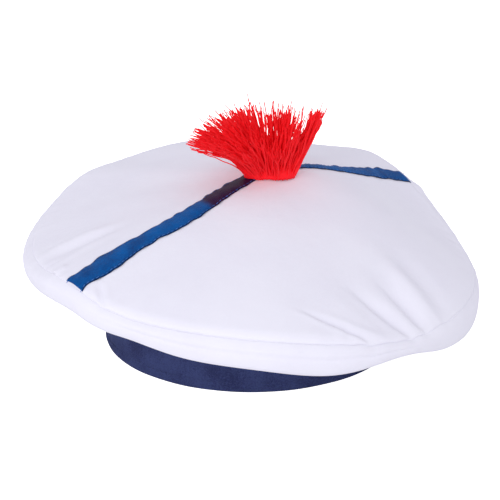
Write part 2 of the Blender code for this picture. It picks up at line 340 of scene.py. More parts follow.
class CapBandSettings(bpy.types.PropertyGroup):
    """The navy band."""

    wall: FloatProperty(
        name="Band thickness", description="How thick the doubled twill is", default=0.0019, unit="LENGTH"
    )
    topstitch_height: FloatProperty(
        name="Topstitch height",
        description="How far the topstitch lies above the lower edge",
        default=0.006,
        unit="LENGTH",
    )
    light: FloatVectorProperty(
        name="Twill",
        description="The twill's lightest colour",
        default=(0.043, 0.058, 0.165),
        subtype="COLOR",
    )
    shade: FloatVectorProperty(
        name="Twill shade",
        description="The twill's darkest colour",
        default=(0.019, 0.024, 0.085),
        subtype="COLOR",
    )


class CapRibbonSettings(bpy.types.PropertyGroup):
    """The blue ribbon."""

    width: FloatProperty(
        name="Ribbon width",
        description="The ribbon's width where it lies flat",
        default=0.015,
        unit="LENGTH",
    )
    wall: FloatProperty(
        name="Ribbon thickness", description="How thick the satin is", default=0.0004, unit="LENGTH"
    )
    frill: FloatProperty(
        name="Frill", description="How far the ribbon's edges waver", default=0.0004, unit="LENGTH"
    )
    ruffle: FloatProperty(
        name="Ruffle", description="How far the ribbon's edges ruffle", default=0.00035, unit="LENGTH"
    )
    light: FloatVectorProperty(
        name="Satin",
        description="The satin's lightest colour",
        default=(0.001, 0.098, 0.36),
        subtype="COLOR",
    )
    shade: FloatVectorProperty(
        name="Satin shade",
        description="The satin's darkest colour",
        default=(0.004, 0.040, 0.170),
        subtype="COLOR",
    )
    # The colour the satin darkens to towards both of its edges
    edge: FloatVectorProperty(
        name="Satin edge",
        description="The colour it darkens to at its edges",
        default=(0.006, 0.016, 0.060),
        subtype="COLOR",
    )
    # Painted shadow of the tuft on the satin, with a painted red reflection of the tuft: the colour the
    # ribbon darkens to beside the tuft
    painted_tuft_shadow: FloatVectorProperty(
        name="Satin painted shadow",
        description="Its colour by the tuft",
        default=(0.030, 0.008, 0.045),
        subtype="COLOR",
    )


class CapTuftSettings(bpy.types.PropertyGroup):
    """The thread tuft."""

    length: FloatProperty(
        name="Thread length", description="How long the tuft's threads are", default=0.047, unit="LENGTH"
    )
    girth: FloatProperty(
        name="Thread radius", description="Half a thread's thickness", default=0.00042, unit="LENGTH"
    )
    foot: FloatProperty(
        name="Foot radius",
        description="How far from its middle the threads start",
        default=0.0157,
        unit="LENGTH",
    )
    crinkle: FloatProperty(
        name="Crinkle", description="How far a thread strays from its curve", default=0.0026, unit="LENGTH"
    )
    # A painted glow: the threads emit their shade colour, standing in for light that shines through them
    painted_glow: FloatProperty(name="Painted glow", description="How strongly the threads glow, a painted glow that stands in for light through them", default=0.04)
    joints: IntProperty(name="Joints", description="How many points a thread has", default=14)
    light: FloatVectorProperty(
        name="Thread",
        description="The thread's lightest colour",
        default=(1.0, 0.020, 0.028),
        subtype="COLOR",
    )
    shade: FloatVectorProperty(
        name="Thread shade",
        description="The thread's darkest colour",
        default=(1.0, 0.005, 0.014),
        subtype="COLOR",
    )


class CapStitchSettings(bpy.types.PropertyGroup):
    """The stitches."""

    length: FloatProperty(
        name="Stitch length", description="How long a stitch is", default=0.0024, unit="LENGTH"
    )
    gap: FloatProperty(
        name="Stitch gap", description="How far apart two stitches lie", default=0.0009, unit="LENGTH"
    )
    thickness: FloatProperty(
        name="Stitch thickness", description="How thick the sewing thread is", default=0.0004, unit="LENGTH"
    )


class CapStudioSettings(bpy.types.PropertyGroup):
    """The floor and the lights."""

    floor_size: FloatProperty(
        name="Floor size", description="How wide the floor is", default=12.0, unit="LENGTH"
    )
    key_power: FloatProperty(
        name="Key light", description="Power of the light at the left", default=11.2, unit="POWER"
    )
    fill_power: FloatProperty(
        name="Fill light", description="Power of the low light at the right", default=1.9, unit="POWER"
    )
    surround: FloatProperty(
        name="Surround", description="Strength of the light from all round", default=0.80
    )
    backdrop: FloatProperty(
        name="Backdrop", description="How much whiter the floor looks to the camera", default=1.0
    )


class SailorCapSettings(bpy.types.PropertyGroup):
    """All the sizes and colours of the cap."""

    crown: PointerProperty(type=CapCrownSettings)
    band: PointerProperty(type=CapBandSettings)
    ribbon: PointerProperty(type=CapRibbonSettings)
    tuft: PointerProperty(type=CapTuftSettings)
    stitch: PointerProperty(type=CapStitchSettings)
    studio: PointerProperty(type=CapStudioSettings)


def smooth(t):
    """Rises smoothly from 0 to 1 as t does."""
    t = np.clip(t, 0, 1)
    return t * t * (3 - 2 * t)


def bump(distance, width):
    """A soft bump of height 1 that dies away over this width."""
    return np.exp(-((distance / width) ** 2))


def turn_between(heading, other):
    """The turn in degrees from one heading to the other, between -180 and 180."""
    return (np.asarray(heading) - other + 180) % 360 - 180


def sector(centre, reach, ease):
    """1 at the headings within a sector of the rim and 0 at the others, with soft steps between them."""
    return smooth((reach - np.abs(turn_between(HEADINGS, centre))) / ease)


def ring(heading, radius, height):
    """Points at these headings, radii and heights."""
    angle = np.radians(heading)
    return np.stack(np.broadcast_arrays(radius * np.sin(angle), -radius * np.cos(angle), height), axis=-1)


def waves(phase, lengths, seed):
    """A sum of sine waves of random strength along a phase in degrees, of about height 1."""
    chance = np.random.default_rng(seed)
    total = np.zeros_like(np.asarray(phase, float))
    for count in lengths:
        total = total + chance.uniform(0.5, 1) * np.sin(np.radians(count * phase + chance.uniform(0, 360)))
    return total / math.sqrt(len(lengths))


def blurred_round(rows, widths):
    """Rows of values round the cap, each blurred by its own width in degrees."""
    turns = np.fft.rfft(rows, axis=-1)
    number = np.arange(turns.shape[-1])
    spread = np.radians(np.asarray(widths))[..., None]
    return np.fft.irfft(turns * np.exp(-0.5 * (number * spread) ** 2), n=rows.shape[-1], axis=-1)


def blurred_along(rows, places, width):
    """Rows of values at these places outwards, blurred over a width, with their slope kept at both ends."""
    even = np.linspace(places[0], places[-1], len(places))
    step = even[1] - even[0]
    reach = math.ceil(3 * width / step)
    level = np.stack([np.interp(even, places, column) for column in rows.T], axis=-1)
    before = 2 * level[:1] - level[reach:0:-1]
    after = 2 * level[-1:] - level[-2 : -reach - 2 : -1]
    longer = np.concatenate([before, level, after])
    weights = np.exp(-0.5 * (np.arange(-reach, reach + 1) * step / width) ** 2)
    weights /= weights.sum()
    level = sum(weight * longer[k : k + len(rows)] for k, weight in enumerate(weights))
    return np.stack([np.interp(places, even, column) for column in level.T], axis=-1)


def node_points(node):
    """The corners of a node's solid."""
    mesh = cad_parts[node].data
    points = np.empty(len(mesh.vertices) * 3, np.float32)
    mesh.vertices.foreach_get("co", points)
    return points.reshape(-1, 3).astype(float)


def skin_of(mesh):
    """The surface of a mesh, to cast rays at."""
    points = [vertex.co for vertex in mesh.vertices]
    return BVHTree.FromPolygons(points, [tuple(face.vertices) for face in mesh.polygons])


def cast(skin, starts, way):
    """Where rays from these points, all going one way or each its own, first meet a skin."""
    starts = np.asarray(starts, float)
    ways = np.broadcast_to(np.asarray(way, float), starts.shape)
    found = np.empty_like(starts)
    for place in np.ndindex(starts.shape[:-1]):
        hit = skin.ray_cast(Vector(starts[place]), Vector(ways[place]))[0]
        if hit is None:
            raise ValueError(f"no surface is met from {starts[place]}")
        found[place] = hit
    return found


def heights_on(skin, x, y, above=1.0):
    """The heights of a skin's upper face over these places."""
    starts = np.stack([x, y, np.full_like(x, above)], axis=-1)
    return cast(skin, starts, (0, 0, -1))[..., 2]


class CapShape:
    """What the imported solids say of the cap: its seam, its middle and its band.

    The crown's operator sets seam_height from the edge of its top panel.
    """

    def __init__(self):
        points = node_points("crown_under")
        points = points[np.hypot(points[:, 0], points[:, 1]) > SEAM_LEAST_RADIUS]
        heading = np.degrees(np.arctan2(points[:, 0], -points[:, 1])) % 360
        slot = np.round(heading / 2).astype(int) % 180
        highest = [np.nonzero(slot == k)[0][points[slot == k, 2].argmax()] for k in np.unique(slot)]
        seam = points[highest]
        order = np.argsort(heading[highest])
        known = heading[highest][order]
        radius = np.interp(HEADINGS, known, np.hypot(seam[:, 0], seam[:, 1])[order], period=360)
        self.seam_radius = blurred_round(radius, math.degrees(SEAM_BLUR / radius.mean()))
        self.seam_height = None
        self.top_skin = skin_of(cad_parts["crown_top"].data)
        self.under_skin = skin_of(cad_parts["crown_under"].data)
        self.middle = np.array(MIDDLE)
        band = node_points("band")
        across = np.hypot(band[:, 0], band[:, 1])
        self.band_outer = across.max()
        self.band_inner = across.min()
        self.band_height = band[:, 2].max()


shape = CapShape()


def cloth_grid(name, points, flat, pole=None):
    """A round of cloth through rings of points, with its place on the flat cloth as its UV map, in metres.

    flat has one column more than points has, for the cloth's other edge at heading 0.
    """
    rings, columns = points.shape[:2]
    after = (np.arange(columns) + 1) % columns
    corners = []
    uv = []
    for i in range(rings - 1):
        lower, upper = i * columns, (i + 1) * columns
        here = np.arange(columns)
        corners.append(np.stack([lower + here, upper + here, upper + after, lower + after], axis=-1))
        uv.append(np.stack([flat[i, :-1], flat[i + 1, :-1], flat[i + 1, 1:], flat[i, 1:]], axis=1))
    faces = [tuple(face) for face in np.concatenate(corners).tolist()]
    places = np.concatenate(uv).reshape(-1, 2)
    vertices = points.reshape(-1, 3).tolist()
    if pole is not None:
        vertices.append(tuple(pole))
        last = len(vertices) - 1
        faces += [(last, k, int(after[k])) for k in range(columns)]
        fan = np.stack([np.full((columns, 2), pole[:2]), flat[0, :-1], flat[0, 1:]], axis=1)
        places = np.concatenate([places, fan.reshape(-1, 2)])
    mesh = bpy.data.meshes.new(name)
    mesh.from_pydata(vertices, [], faces)
    layer = mesh.uv_layers.new(name="Flat")
    layer.data.foreach_set("uv", places.astype(np.float32).ravel())
    obj = bpy.data.objects.new(name, mesh)
    bpy.context.scene.collection.objects.link(obj)
    return obj


def finished(obj, material):
    """The object with its modifiers applied, shaded smooth, in this material."""
    bpy.context.view_layer.update()
    graph = bpy.context.evaluated_depsgraph_get()
    mesh = bpy.data.meshes.new_from_object(
        obj.evaluated_get(graph), preserve_all_data_layers=True, depsgraph=graph
    )
    obj.modifiers.clear()
    old = obj.data
    obj.data = mesh
    bpy.data.meshes.remove(old)
    mesh.name = obj.name
    mesh.materials.clear()
    mesh.materials.append(material)
    mesh.shade_smooth()
    return obj


def with_wall(obj, wall, offset=-1):
    """Gives a skin of cloth its thickness, on its inner side."""
    solid = obj.modifiers.new("Wall", "SOLIDIFY")
    solid.thickness = wall
    solid.offset = offset
    solid.use_even_offset = True
    return obj


def hand_over(obj, slot, *nodes):
    """Lets a finished piece ride on the cap, and stand for these nodes."""
    if nodes:
        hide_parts(*nodes)
    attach(obj, BODY)


def add(tree, kind, inputs=None, output=0, **settings):
    """A new node of this kind with its settings and inputs, as one of its outputs."""
    node = tree.nodes.new(kind)
    for name, value in settings.items():
        setattr(node, name, value)
    for key, value in (inputs or {}).items():
        socket = node.inputs[key]
        if isinstance(value, bpy.types.NodeSocket):
            tree.links.new(value, socket)
        else:
            socket.default_value = value
    return node.outputs[output]


def math_node(tree, operation, *values):
    """A number worked out from numbers or sockets."""
    return add(tree, "ShaderNodeMath", dict(enumerate(values)), operation=operation)


def vector_node(tree, operation, *values, output=0):
    """A vector worked out from vectors or sockets."""
    return add(tree, "ShaderNodeVectorMath", dict(enumerate(values)), output, operation=operation)


def scaled(tree, vector, factor):
    """A vector times a number."""
    return add(tree, "ShaderNodeVectorMath", {0: vector, "Scale": factor}, operation="SCALE")


def mixed(tree, factor, low, high):
    """A colour between two others."""
    return add(tree, "ShaderNodeMix", {0: factor, 6: low, 7: high}, 2, data_type="RGBA")


def remapped(tree, value, low, high, new_low, new_high):
    """A number moved from one range to another."""
    places = {"Value": value, 1: low, 2: high, 3: new_low, 4: new_high}
    return add(tree, "ShaderNodeMapRange", places)


def new_group(name, kind, inputs, outputs):
    """A node group with these sockets: the tree, its inputs by name and the node for its outputs."""
    tree = bpy.data.node_groups.new(name, kind)
    for socket_name, (socket_type, default) in inputs.items():
        socket = tree.interface.new_socket(socket_name, in_out="INPUT", socket_type=socket_type)
        if default is not None:
            socket.default_value = default
    for socket_name, socket_type in outputs.items():
        tree.interface.new_socket(socket_name, in_out="OUTPUT", socket_type=socket_type)
    entry = tree.nodes.new("NodeGroupInput")
    exit_node = tree.nodes.new("NodeGroupOutput")
    return tree, entry.outputs, exit_node.inputs


def weave_group():
    """A woven surface: its height and how far a thread shows, from the flat cloth's own coordinates.

    Slant is how far each row of the weave steps aside: 0 is a plain weave and 1 a twill.
    """
    tree, given, result = new_group(
        "Weave",
        "ShaderNodeTree",
        {
            "Flat": ("NodeSocketVector", None),
            "Pitch": ("NodeSocketFloat", 0.0005),
            "Slant": ("NodeSocketFloat", 0.0),
            "Cross": ("NodeSocketFloat", 1.0),
            "Unevenness": ("NodeSocketFloat", 0.4),
        },
        {"Height": "NodeSocketFloat", "Thread": "NodeSocketFloat"},
    )
    frequency = math_node(tree, "DIVIDE", 1.0, given["Pitch"])
    counted = scaled(tree, given["Flat"], frequency)
    stray = add(tree, "ShaderNodeTexNoise", {"Vector": counted, "Scale": 0.35, "Detail": 3.0}, "Color")
    shift = scaled(tree, vector_node(tree, "SUBTRACT", stray, (0.5, 0.5, 0.5)), given["Unevenness"])
    place = vector_node(tree, "ADD", counted, shift)
    parts = tree.nodes.new("ShaderNodeSeparateXYZ")
    tree.links.new(place, parts.inputs[0])
    across = math_node(tree, "MULTIPLY_ADD", parts.outputs[1], given["Slant"], parts.outputs[0])
    warp = math_node(tree, "SINE", math_node(tree, "MULTIPLY", across, math.tau))
    weft = math_node(tree, "SINE", math_node(tree, "MULTIPLY", parts.outputs[1], math.tau))
    kept = math_node(tree, "SUBTRACT", 1.0, given["Cross"])
    share = math_node(tree, "MULTIPLY_ADD", weft, given["Cross"], kept)
    height = math_node(tree, "MULTIPLY", warp, share)
    tree.links.new(height, result["Height"])
    tree.links.new(remapped(tree, height, -1.0, 1.0, 0.0, 1.0), result["Thread"])
    return tree


def tone_group():
    """Soft patches of lighter and darker cloth, with fine flecks, as a value from 0 to 1."""
    tree, given, result = new_group(
        "Cloth Tone",
        "ShaderNodeTree",
        {
            "Place": ("NodeSocketVector", None),
            "Patch Size": ("NodeSocketFloat", 0.04),
            "Fleck Size": ("NodeSocketFloat", 0.0012),
            "Flecks": ("NodeSocketFloat", 0.3),
        },
        {"Tone": "NodeSocketFloat"},
    )
    broad = scaled(tree, given["Place"], math_node(tree, "DIVIDE", 1.0, given["Patch Size"]))
    fine = scaled(tree, given["Place"], math_node(tree, "DIVIDE", 1.0, given["Fleck Size"]))
    patches = add(tree, "ShaderNodeTexNoise", {"Vector": broad, "Scale": 1.0, "Detail": 2.0})
    flecks = add(tree, "ShaderNodeTexNoise", {"Vector": fine, "Scale": 1.0, "Detail": 1.0})
    centred = math_node(tree, "SUBTRACT", flecks, 0.5)
    tone = math_node(tree, "MULTIPLY_ADD", centred, given["Flecks"], patches)
    tree.links.new(remapped(tree, tone, 0.25, 0.75, 0.0, 1.0), result["Tone"])
    return tree


def fibre_group():
    """The twist of a thread, as a height from 0 to 1, from the object's own coordinates."""
    tree, given, result = new_group(
        "Fibre",
        "ShaderNodeTree",
        {"Place": ("NodeSocketVector", None), "Fibre Size": ("NodeSocketFloat", 0.0004)},
        {"Height": "NodeSocketFloat"},
    )
    fine = scaled(tree, given["Place"], math_node(tree, "DIVIDE", 1.0, given["Fibre Size"]))
    noise = add(tree, "ShaderNodeTexNoise", {"Vector": fine, "Scale": 1.0, "Detail": 2.0})
    tree.links.new(noise, result["Height"])
    return tree


def placed_group(tree, group, inputs, output):
    """A node group placed in a material with its own values, as one of its outputs."""
    return add(tree, "ShaderNodeGroup", inputs, output, node_tree=group)


def new_material(name, **constants):
    """A material: its tree and its shader, with the constants set on the shader's own sockets."""
    material = bpy.data.materials.new(name)
    material.use_nodes = True
    tree = material.node_tree
    shader = tree.nodes["Principled BSDF"]
    for key, value in constants.items():
        shader.inputs[key.replace("_", " ")].default_value = value
    return material, tree, shader


def bump_node(tree, height, distance, strength=1.0, normal=None):
    """A normal bent by a height, as deep as the distance in metres."""
    inputs = {"Height": height, "Distance": distance, "Strength": strength}
    if normal is not None:
        inputs["Normal"] = normal
    return add(tree, "ShaderNodeBump", inputs)


def woven_material(name, light, shade, weave, weave_inputs, tone, tone_inputs, depth, crumple, **constants):
    """A woven cloth: its tone in patches, its threads and its fine crumples."""
    material, tree, shader = new_material(name, **constants)
    flat = add(tree, "ShaderNodeUVMap", uv_map="Flat")
    place = add(tree, "ShaderNodeTexCoord", output="Object")
    toned = placed_group(tree, tone, {"Place": place, **tone_inputs}, "Tone")
    thread = placed_group(tree, weave, {"Flat": flat, **weave_inputs}, "Thread")
    colour = mixed(tree, math_node(tree, "MULTIPLY_ADD", thread, 0.35, toned), (*shade, 1), (*light, 1))
    crumpled = add(tree, "ShaderNodeTexNoise", {"Vector": place, "Scale": 90.0, "Detail": 3.0})
    soft = bump_node(tree, crumpled, crumple)
    woven = bump_node(tree, thread, depth, normal=soft)
    tree.links.new(colour, shader.inputs["Base Color"])
    tree.links.new(woven, shader.inputs["Normal"])
    return material


def thread(name, light, shade, roughness=0.6, **constants):
    """A spun thread, for sewing or for the tuft. Its mesh keeps its tone as an attribute from 0 to 1."""
    fibre = shared_groups()[2]
    constants = {"Roughness": roughness, "Specular_IOR_Level": 0.2, **constants}
    material, tree, shader = new_material(name, **constants)
    place = add(tree, "ShaderNodeTexCoord", output="Object")
    toned = add(tree, "ShaderNodeAttribute", output="Fac", attribute_name="tone")
    height = placed_group(tree, fibre, {"Place": place}, "Height")
    factor = math_node(tree, "MULTIPLY_ADD", math_node(tree, "SUBTRACT", height, 0.5), 0.5, toned)
    tree.links.new(mixed(tree, factor, (*shade, 1), (*light, 1)), shader.inputs["Base Color"])
    tree.links.new(bump_node(tree, height, 0.0002), shader.inputs["Normal"])
    return material


def shared_groups():
    """The shader groups that the materials share, made once."""
    names = {"Weave": weave_group, "Cloth Tone": tone_group, "Fibre": fibre_group}
    return [bpy.data.node_groups.get(name) or make() for name, make in names.items()]


def cotton(settings):
    """The crown's fine white cotton."""
    if "Cotton" in bpy.data.materials:
        return bpy.data.materials["Cotton"]
    weave, tone, _ = shared_groups()
    return woven_material(
        "Cotton",
        settings.light,
        settings.shade,
        weave,
        {"Pitch": 0.0006, "Unevenness": 0.5},
        tone,
        {"Patch Size": 0.05, "Flecks": 0.25},
        0.00006,
        0.0004,
        Roughness=0.9,
        Specular_IOR_Level=0.2,
    )


def twill(settings):
    """The band's navy twill, with its slanting ribs."""
    weave, tone, _ = shared_groups()
    return woven_material(
        "Twill",
        settings.light,
        settings.shade,
        weave,
        {"Pitch": 0.0011, "Slant": 1.0, "Cross": 0.35, "Unevenness": 0.6},
        tone,
        {"Patch Size": 0.02, "Flecks": 0.9, "Fleck Size": 0.0009},
        0.00016,
        0.0003,
        Roughness=0.8,
        Specular_IOR_Level=0.15,
    )


def satin(settings):
    """The ribbon's blue satin."""
    weave, tone, _ = shared_groups()
    material = woven_material(
        "Satin",
        settings.light,
        settings.shade,
        weave,
        {"Pitch": 0.0004, "Slant": 0.25, "Cross": 0.2, "Unevenness": 0.4},
        tone,
        {"Patch Size": 0.012, "Flecks": 0.5},
        0.00005,
        0.0009,
        Roughness=0.4,
        Specular_IOR_Level=0.05,
    )
    tree = material.node_tree
    colour_input = tree.nodes["Principled BSDF"].inputs["Base Color"]
    colour = colour_input.links[0].from_socket
    # Darkens the satin towards its edges, and beside the tuft to a painted shadow and painted red reflection
    # of the tuft
    for name, dark in (("edge", settings.edge), ("painted_tuft_shadow", settings.painted_tuft_shadow)):
        share = add(tree, "ShaderNodeAttribute", output="Fac", attribute_name=name)
        colour = mixed(tree, share, colour, (*dark, 1))
    tree.links.new(colour, colour_input)
    return material


def fold_relief(heading, share, settings):
    """How far the folds raise the top panel, at headings of its seam and shares of the way out."""
    relief = np.zeros(np.broadcast(heading, share).shape)
    rim = shape.seam_radius.mean()
    for fold in FOLDS:
        along = np.clip((share - fold.reach) / (1 - fold.reach), 0, 1)
        centre = fold.inner + (fold.seam - fold.inner) * along
        across = np.radians(turn_between(heading, centre)) * share * rim / (settings.fold_width * fold.width)
        closing = smooth((along - (1 - FOLD_CLOSE)) / FOLD_CLOSE)
        swell = smooth(along / FOLD_SWELL) * (1 - (1 - fold.open) * closing)
        side = np.where(across < 0, fold.steep, 1.0)
        shoulders = bump(across - 2, 0.9) + bump(across + 1.3 * fold.steep + 0.7, 0.7)
        section = FOLD_SHOULDERS * shoulders - bump(across, side)
        relief += settings.fold_depth * fold.depth * swell * section
    return relief


def seam_pucker(heading, share, depth):
    """Small puckers that run in from the rim's seam."""
    small = waves(heading, (53, 67, 81, 103, 127), SEED + 1)
    small = small * (0.6 + 0.4 * waves(heading, (5, 9, 13), SEED + 2))
    return depth * small * smooth((share - 0.86) / 0.13)


def broad_sway(heading, share, depth):
    """Broad soft waves in the cloth between its middle and its seam."""
    inner = waves(heading, (3, 5, 8), SEED + 3) * bump(share - 0.6, 0.22)
    outer = waves(heading, (7, 11, 16, 21), SEED + 4) * bump(share - 0.85, 0.14)
    return depth * (inner + 0.6 * outer)


def crown_top_points(settings):
    """The fine top panel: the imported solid's form without its facets, with its folds, puckers and lip."""
    seam = ring(HEADINGS, shape.seam_radius, 0.0)[:, :2]
    middle = shape.middle
    shares = TOP_SHARES[:, None]
    plan = middle + (seam - middle) * shares[..., None]
    inside = middle + (seam - middle) * np.minimum(shares, LAST_SOLID_SHARE)[..., None]
    height = heights_on(shape.top_skin, inside[..., 0], inside[..., 1])
    reach = np.linalg.norm(plan - middle, axis=-1).mean(axis=1)
    height = blurred_round(height, np.degrees(FACET_BLUR / reach))
    height = blurred_along(height, reach, FACET_BLUR)
    height += fold_relief(HEADINGS, shares, settings)
    height += seam_pucker(HEADINGS, shares, settings.pucker)
    height += broad_sway(HEADINGS, shares, settings.sway)
    from_seam = (1 - shares) * reach[-1]
    height += overhang(from_seam, settings)
    lip = 1 - np.sqrt(1 - np.clip(1 - from_seam / LIP_RADIUS, 0, 1) ** 2)
    height -= LIP_DROP * lip
    return np.concatenate([plan, height[..., None]], axis=-1)


def overhang(from_seam, settings):
    """How far the top panel swells above its seam before it turns down to it."""
    near = sector(OVERHANG_HEADING, OVERHANG_REACH, OVERHANG_EASE)
    window = OVERHANG_ELSEWHERE + (1 - OVERHANG_ELSEWHERE) * near
    turn = 1 - np.sqrt(1 - np.clip(1 - from_seam / settings.overhang_width, 0, 1) ** 2)
    return settings.overhang * window * (1 - turn) * np.exp(-((from_seam / OVERHANG_FADE) ** 2))


def crown_under_points(settings):
    """The fine under panel: a lip at the seam, the rolled rim and the underside, down to the band's top."""
    radius, height = shape.seam_radius, shape.seam_height
    way_in = -ring(HEADINGS, 1.0, 0.0)
    low_start = ring(HEADINGS, radius, BELOW)
    low = blurred_round(cast(shape.under_skin, low_start, (0, 0, 1))[:, 2], UNDER_BLUR_DEGREES)
    met = cast(shape.under_skin, ring(HEADINGS, OUTSIDE, (low + height) / 2), way_in)
    belly = blurred_round(np.hypot(met[:, 0], met[:, 1]), UNDER_BLUR_DEGREES)
    top = height - SHOULDER_DROP
    shoulder = radius + SHOULDER_OUT
    rows = [ring(HEADINGS, radius + out, height + above) for out, above in LIP_ROWS]
    for turn in np.linspace(ROLL_START, -math.pi / 2, ROLL_STEPS):
        fullness = (math.cos(turn) - math.cos(ROLL_START)) / (1 - math.cos(ROLL_START))
        fullness = fullness if turn > 0 else math.cos(turn)
        level = low + (top - low) * (math.sin(turn) + 1) / (math.sin(ROLL_START) + 1)
        rows.append(ring(HEADINGS, shoulder + (belly - shoulder) * fullness, level))
    foot = shape.band_outer + settings.wall + BAND_GAP
    inner = np.linspace(0, 1, UNDER_STEPS + 1)[1:]
    spots = ring(HEADINGS, radius + (foot - radius) * inner[:, None], BELOW)
    level = cast(shape.under_skin, spots, (0, 0, 1))[..., 2]
    level = blurred_round(level, np.full(UNDER_STEPS, UNDER_BLUR_DEGREES))
    level = np.concatenate([low[None], level])
    level = blurred_along(level, np.arange(UNDER_STEPS + 1.0), UNDER_BLUR_ROWS)[1:]
    for share, row in zip(inner, level):
        rows.append(ring(HEADINGS, radius + (foot - radius) * share, row))
    for reach, rise in zip((shape.band_outer, shape.band_inner), BAND_SEAM_RISE):
        rows.append(ring(HEADINGS, reach, shape.band_height + rise + 0 * radius))
    points = np.stack(rows)
    return points + rim_relief(points, settings)


def rim_relief(points, settings):
    """How the rolled rim creases and puckers, as offsets along its outward way."""
    rings = len(points)
    place = np.arange(rings)[:, None] / (rings - 1)
    swing = CREASE_SWING * np.cos(np.radians(turn_between(HEADINGS, CREASE_LOW_HEADING)))
    window = sector(CREASE_HEADING, CREASE_REACH, CREASE_EASE)
    crease = -settings.crease_depth * bump(place - (CREASE_PLACE + swing), CREASE_WIDTH) * window
    puckered = bump(place - PUCKER_PLACE, PUCKER_WIDTH)
    small = waves(HEADINGS, (31, 47, 61, 83), SEED + 5) * puckered
    broad = waves(HEADINGS, (6, 9, 14), SEED + 6) * bump(place - 0.35, 0.2)
    out = crease + settings.pucker * 0.7 * small + settings.sway * 0.6 * broad
    bulge = BULGE * bump(turn_between(HEADINGS, BULGE_HEADING), BULGE_SPREAD)
    out = out + bulge * puckered
    way = points * (1, 1, 0)
    way = way / np.linalg.norm(way, axis=-1, keepdims=True)
    return way * (out * smooth(place / 0.08) * smooth((0.9 - place) / 0.2))[..., None]


def flat_of_rounds(points):
    """The place of each point on the flat cloth: the way round and the way along the profile, in metres."""
    closed = np.concatenate([points, points[:, :1]], axis=1)
    rim = np.linalg.norm(np.diff(closed[len(closed) // 3], axis=0), axis=-1)
    round_way = np.concatenate([[0], np.cumsum(rim)])
    steps = np.linalg.norm(np.diff(closed, axis=0), axis=-1).mean(axis=1)
    down = np.concatenate([[0], np.cumsum(steps)])
    return np.stack(np.broadcast_arrays(round_way[None, :], down[:, None]), axis=-1)


class CAP_OT_crown(bpy.types.Operator):
    """Make the crown's top panel and under panel"""

    bl_idname = "cap.crown"
    bl_label = "Crown"

    def execute(self, context):
        settings = context.scene.sailor_cap.crown
        points = crown_top_points(settings)
        flat = np.concatenate([points, points[:, :1]], axis=1)[..., :2]
        pole = points[0].mean(axis=0)
        shape.seam_height = blurred_round(points[-1, :, 2], 1.0) + LIP_DROP
        top = with_wall(cloth_grid("crown_top_cloth", points, flat, pole), settings.wall)
        hand_over(finished(top, cotton(settings)), "white_cotton", "crown_top")
        points = crown_under_points(settings)
        under = with_wall(cloth_grid("crown_under_cloth", points, flat_of_rounds(points)), settings.wall)
        hand_over(finished(under, cotton(settings)), "white_cotton", "crown_under")
        return {"FINISHED"}


class CAP_OT_band(bpy.types.Operator):
    """Make the band of doubled twill"""

    bl_idname = "cap.band"
    bl_label = "Band"

    def execute(self, context):
        settings = context.scene.sailor_cap.band
        inner, outer, height = shape.band_inner, shape.band_outer, shape.band_height
        edge = settings.wall / 2
        middle = (inner + outer) / 2
        turns = np.linspace(0, -math.pi, 9)
        low, high = BAND_SIDE_START, height - BAND_SIDE_STOP
        section = [(middle, height), (middle + edge * 0.8, height), (outer, height - BAND_CORNER)]
        section += [(outer, z) for z in np.linspace(high, low, BAND_SIDE_ROWS)]
        section += [(middle + edge * math.cos(t), edge + edge * math.sin(t)) for t in turns]
        section += [(inner, z) for z in np.linspace(low, high, BAND_SIDE_ROWS)]
        section += [(inner, height - BAND_CORNER), (middle - edge * 0.8, height), (middle, height)]
        lean = waves(HEADINGS, (4, 7, 11, 17), SEED + 8) * BAND_WAVER
        rows = []
        for reach, z in section:
            groove = GROOVE_DEPTH * bump(z - settings.topstitch_height, GROOVE_WIDTH) * (reach > middle)
            rows.append(ring(HEADINGS, reach - groove + lean, z))
        points = np.stack(rows)
        band = cloth_grid("band_twill", points, flat_of_rounds(points))
        weld = band.modifiers.new("Close", "WELD")
        weld.merge_threshold = WELD_DISTANCE
        hand_over(finished(band, twill(settings)), "navy_twill", "band")
        return {"FINISHED"}


def ribbon_column(name, place):
    """A column of the ribbon's table at any place along it, on a smooth curve through its rows."""
    known = np.array([row.along for row in RIBBON])
    values = np.array([getattr(row, name) for row in RIBBON])
    slopes = np.gradient(values, known)
    k = np.clip(np.searchsorted(known, place) - 1, 0, len(known) - 2)
    span = known[k + 1] - known[k]
    t = (place - known[k]) / span
    return (
        values[k] * (2 * t**3 - 3 * t**2 + 1)
        + slopes[k] * span * (t**3 - 2 * t**2 + t)
        + values[k + 1] * (3 * t**2 - 2 * t**3)
        + slopes[k + 1] * span * (t**3 - t**2)
    )


def ribbon_lines(settings, aside, lift):
    """Points along the ribbon at shares of its half width, lifted off the finished crown."""
    ends = [seam_reach(heading) for heading in (270, 90)]
    along = np.linspace(-1, 1, RIBBON_STEPS)
    aside = np.asarray(aside)[:, None]
    edge = np.abs(aside) ** 3
    frill = waves(along * RIBBON_TURN, (31, 47, 71), SEED + 10)
    frill_back = waves(along * RIBBON_TURN, (29, 43, 67), SEED + 11)
    y = settings.width * (ribbon_column("aside", along) + ribbon_column("width", along) * aside / 2)
    y = y + settings.frill * edge * np.where(aside > 0, frill_back, frill)
    turn = np.degrees(y / np.where(along < 0, ends[0], ends[1]))
    end = np.where(along < 0, seam_reach(270 - turn), seam_reach(90 + turn)) - RIBBON_END_INSET
    x = along * np.sqrt(end**2 - y**2)
    skin = skin_of(bpy.data.objects["crown_top_cloth"].data)
    z = heights_on(skin, x, y)
    ruffle = settings.ruffle * (0.2 + edge) * waves(along * RIBBON_TURN, (37, 53, 71), SEED + 12)
    puff = RIBBON_PUFF * (1 - aside**2)
    return np.stack([x, y, z + lift + puff + ruffle], axis=-1)


def seam_reach(heading):
    """How far the seam of the rim lies from the cap's axis at any heading."""
    return np.interp(np.asarray(heading) % 360, HEADINGS, shape.seam_radius, period=360)


